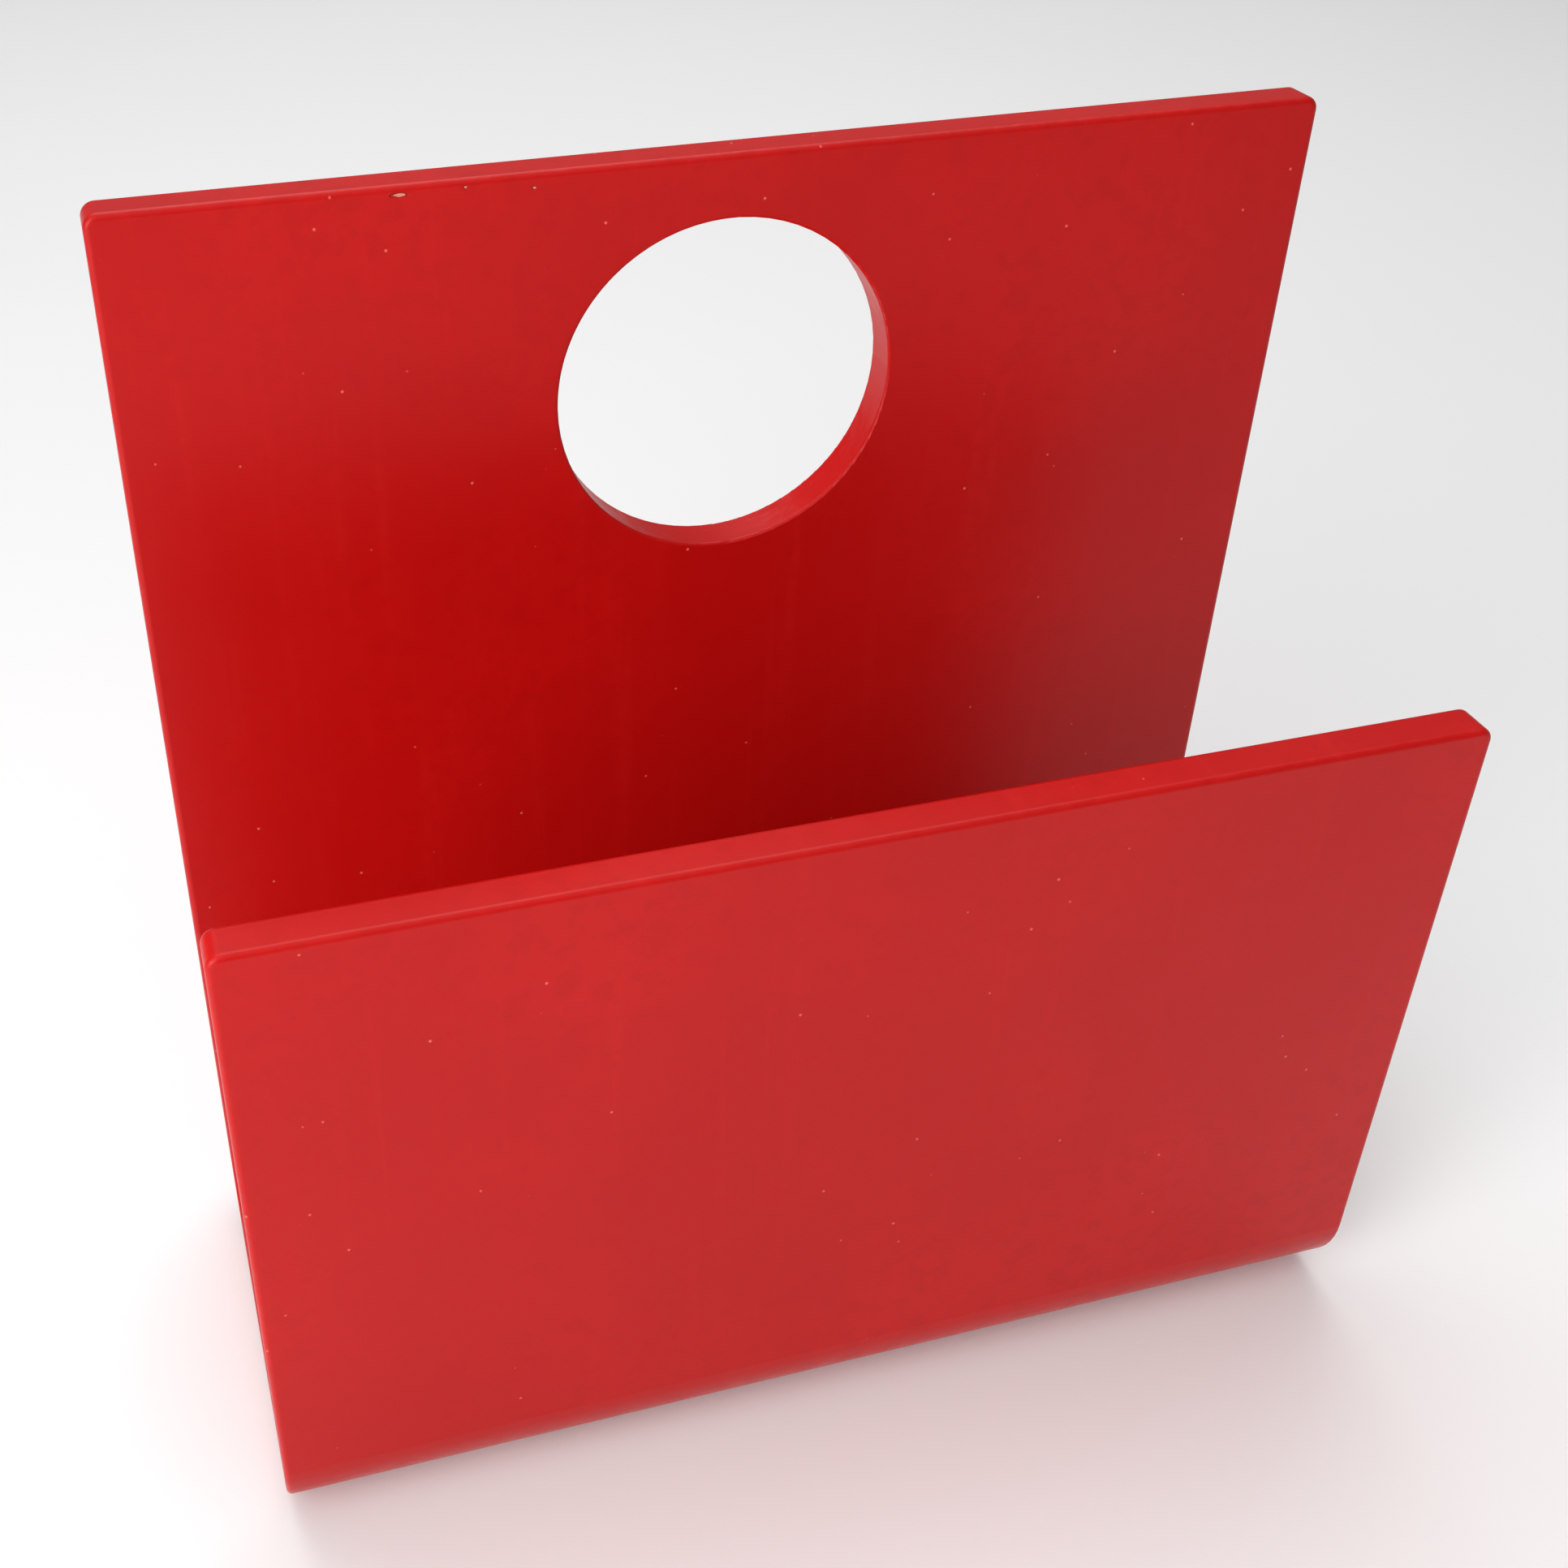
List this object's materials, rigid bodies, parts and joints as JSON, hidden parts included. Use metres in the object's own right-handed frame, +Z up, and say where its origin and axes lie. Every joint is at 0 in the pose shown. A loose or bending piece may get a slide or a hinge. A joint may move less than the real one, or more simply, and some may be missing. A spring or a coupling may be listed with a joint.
{
  "type": "magazine file holder",
  "caption": "Free-standing U-shaped magazine holder of moulded plywood in satin red lacquer, open at both ends, with a tall back panel and a round hand hole.",
  "frame": {"origin": "middle of the footprint, on the surface that the felt pads stand on", "axes": "+Z up, +Y from the low front panel towards the tall back panel, +X to the right seen from the front"},
  "size_m": [0.35, 0.146, 0.36],
  "materials": {
    "face_veneer": "satin red lacquer on its exposed side and edges, bare beech on its glued side",
    "core_veneer": "satin red lacquer on its exposed edges, bare beech on its glued sides",
    "felt": "pressed wool felt"
  },
  "bodies": {
    "root": {"face_veneer_outer": "face_veneer", "core_veneer_1": "core_veneer", "core_veneer_2": "core_veneer", "core_veneer_3": "core_veneer", "core_veneer_4": "core_veneer", "core_veneer_5": "core_veneer", "core_veneer_6": "core_veneer", "core_veneer_7": "core_veneer", "face_veneer_inner": "face_veneer", "felt_pad_front_left": "felt", "felt_pad_front_right": "felt", "felt_pad_back_left": "felt", "felt_pad_back_right": "felt"}
  },
  "joints": []
}
